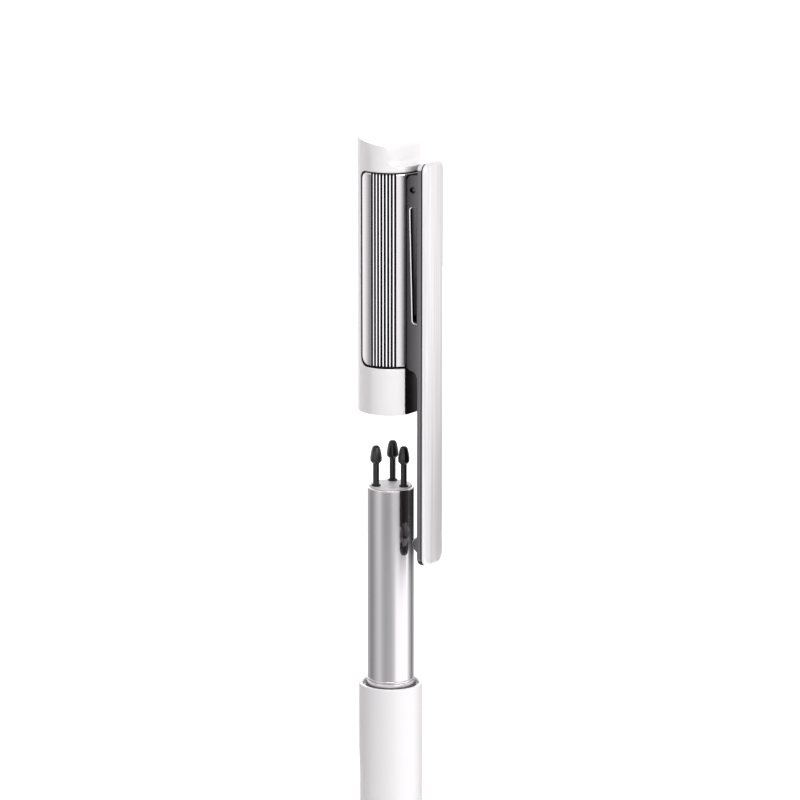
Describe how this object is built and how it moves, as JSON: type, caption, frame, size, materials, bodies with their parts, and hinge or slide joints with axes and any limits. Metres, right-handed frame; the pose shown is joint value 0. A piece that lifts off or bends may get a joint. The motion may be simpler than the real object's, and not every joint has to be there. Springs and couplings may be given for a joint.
{
  "type": "stylus pen",
  "caption": "Slim round stylus pen with a pull-off clip cap that hides a steel tube holding spare nibs, and a pressure-sensing nib at its nose.",
  "frame": {"origin": "on the pen's axis at the middle of the grip, where fingers hold it, 35 mm above the writing tip", "axes": "+Z along the pen's axis away from the writing tip, +X towards the cap's clip"},
  "size_m": [0.0122, 0.0096, 0.2001],
  "materials": {
    "white_shell": "gloss white, moulded",
    "polished_steel": "polished steel",
    "dark_steel": "satin dark grey",
    "grey_plastic": "satin light grey",
    "black_nib": "satin black",
    "black_rubber": "matte black",
    "black_plastic": "matte black",
    "ivory_plastic": "satin ivory",
    "ferrite": "matte dark grey ceramic",
    "copper": "enamelled copper",
    "board": "green solder mask",
    "ceramic": "matte ceramic",
    "flex": "amber film",
    "magnet": "bright nickel"
  },
  "bodies": {
    "root": {"barrel": "white_shell", "tube_socket": "grey_plastic", "storage_tube": "polished_steel", "collar_ring": "polished_steel", "nib_holder": "grey_plastic", "nib_grommet_1": "black_rubber", "nib_grommet_2": "black_rubber", "nib_grommet_3": "black_rubber", "nose_cone": "polished_steel", "nose_seal": "black_rubber", "ferrite_core": "ferrite", "coil": "copper", "coil_holder": "black_plastic", "sensor_housing": "black_plastic", "pressure_pad": "black_rubber", "pressure_sensor": "ceramic", "sensor_lid": "black_plastic", "sensor_flex": "flex", "board_tray": "black_plastic", "circuit_board": "board", "controller_chip": "black_plastic", "tuning_capacitor_1": "ceramic", "tuning_capacitor_2": "ceramic", "tuning_capacitor_3": "ceramic", "tuning_capacitor_4": "ceramic", "trimmer": "ivory_plastic", "magnet_1": "magnet", "magnet_2": "magnet"},
    "cap": {"cap_shell": "white_shell", "cap_core": "polished_steel", "grip_ring": "black_rubber", "clip_pin": "polished_steel"},
    "clip": {"clip_channel": "dark_steel", "clip_plate": "white_shell", "clip_spring": "polished_steel", "spring_rivet": "polished_steel"},
    "spare_nib_1": {"spare_nib_1": "black_nib"},
    "spare_nib_2": {"spare_nib_2": "black_nib"},
    "spare_nib_3": {"spare_nib_3": "black_nib"},
    "nib_carrier": {"nib_carrier": "ivory_plastic"},
    "writing_nib": {"writing_nib": "black_nib"}
  },
  "joints": [
    {"name": "cap_pull", "type": "slide", "parent": "root", "child": "cap", "axis": [0, 0, 1], "range_m": [-0.04145, 0]},
    {"name": "clip_hinge", "type": "hinge", "parent": "cap", "child": "clip", "pos_m": [0.0057, 0, 0.15785], "axis": [0, -1, 0], "range_deg": [0, 5], "stiffness_Nm_per_rad": 1.2, "springref_deg": -1.72},
    {"name": "spare_lift_1", "type": "slide", "parent": "root", "child": "spare_nib_1", "axis": [0, 0, 1], "range_m": [0, 0.0115]},
    {"name": "spare_lift_2", "type": "slide", "parent": "root", "child": "spare_nib_2", "axis": [0, 0, 1], "range_m": [0, 0.0115]},
    {"name": "spare_lift_3", "type": "slide", "parent": "root", "child": "spare_nib_3", "axis": [0, 0, 1], "range_m": [0, 0.0115]},
    {"name": "nib_press", "type": "slide", "parent": "root", "child": "nib_carrier", "axis": [0, 0, 1], "range_m": [0, 0.0004], "stiffness_N_per_m": 5000, "springref_m": -0.00002, "deforming": ["pressure_pad"]},
    {"name": "nib_pull", "type": "slide", "parent": "nib_carrier", "child": "writing_nib", "axis": [0, 0, -1], "range_m": [0, 0.016]}
  ]
}
